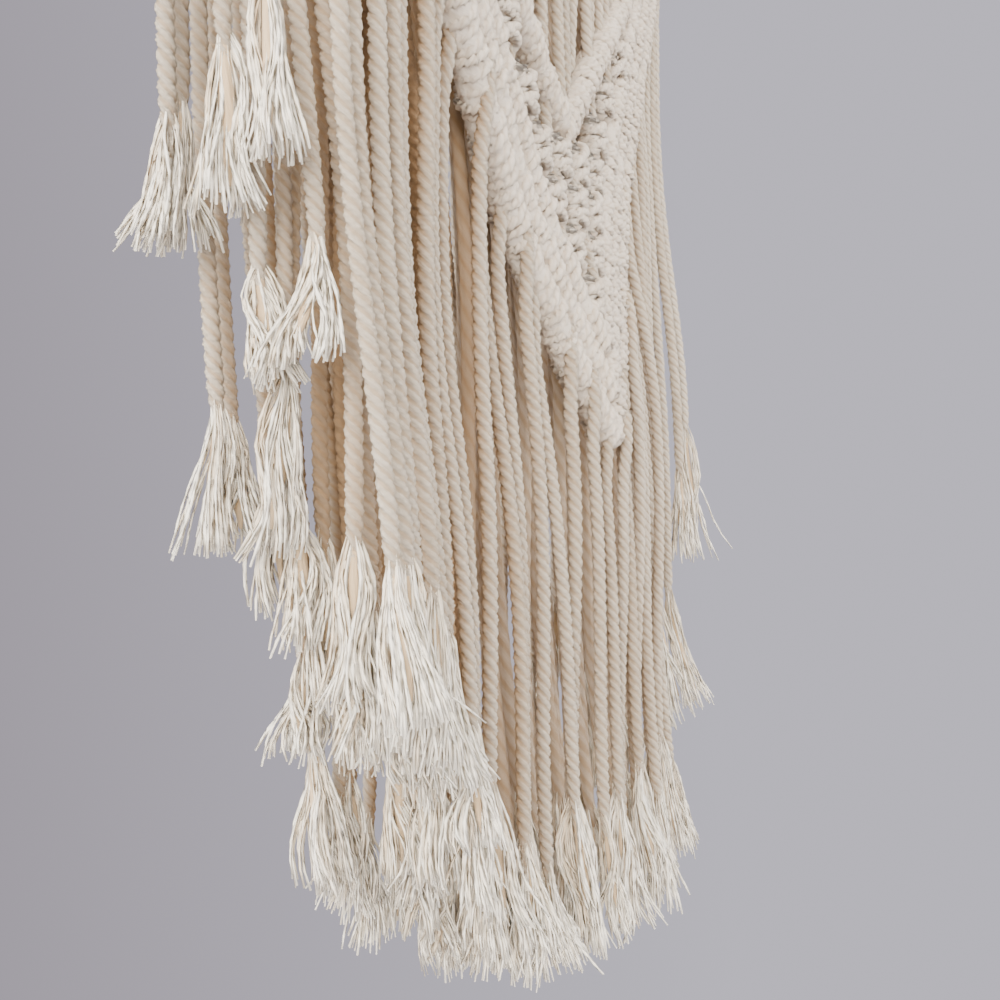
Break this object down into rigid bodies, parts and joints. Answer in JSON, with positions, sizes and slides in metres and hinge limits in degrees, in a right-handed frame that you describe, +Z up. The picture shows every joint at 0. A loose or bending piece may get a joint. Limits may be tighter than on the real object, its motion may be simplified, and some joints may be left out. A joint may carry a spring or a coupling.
{
  "type": "macrame wall hanging",
  "caption": "Macrame wall hanging of twisted cotton cord, with a knotted V panel, a stepped fringe and plain fringe layers behind it.",
  "frame": {"origin": "middle of the top edge, halfway between the front and the back heading", "axes": "+X along the width, to the right seen from the front, -Y out of the front, +Z up"},
  "size_m": [0.3358, 0.0746, 0.3928],
  "materials": {
    "front_cotton": "matte twisted cotton",
    "back_cotton_1": "matte twisted cotton",
    "back_cotton_2": "matte twisted cotton",
    "back_cotton_3": "matte twisted cotton"
  },
  "bodies": {
    "root": {"front_panel": "front_cotton", "back_fringe_1": "back_cotton_1", "back_fringe_2": "back_cotton_2", "back_fringe_3": "back_cotton_3"}
  },
  "joints": []
}
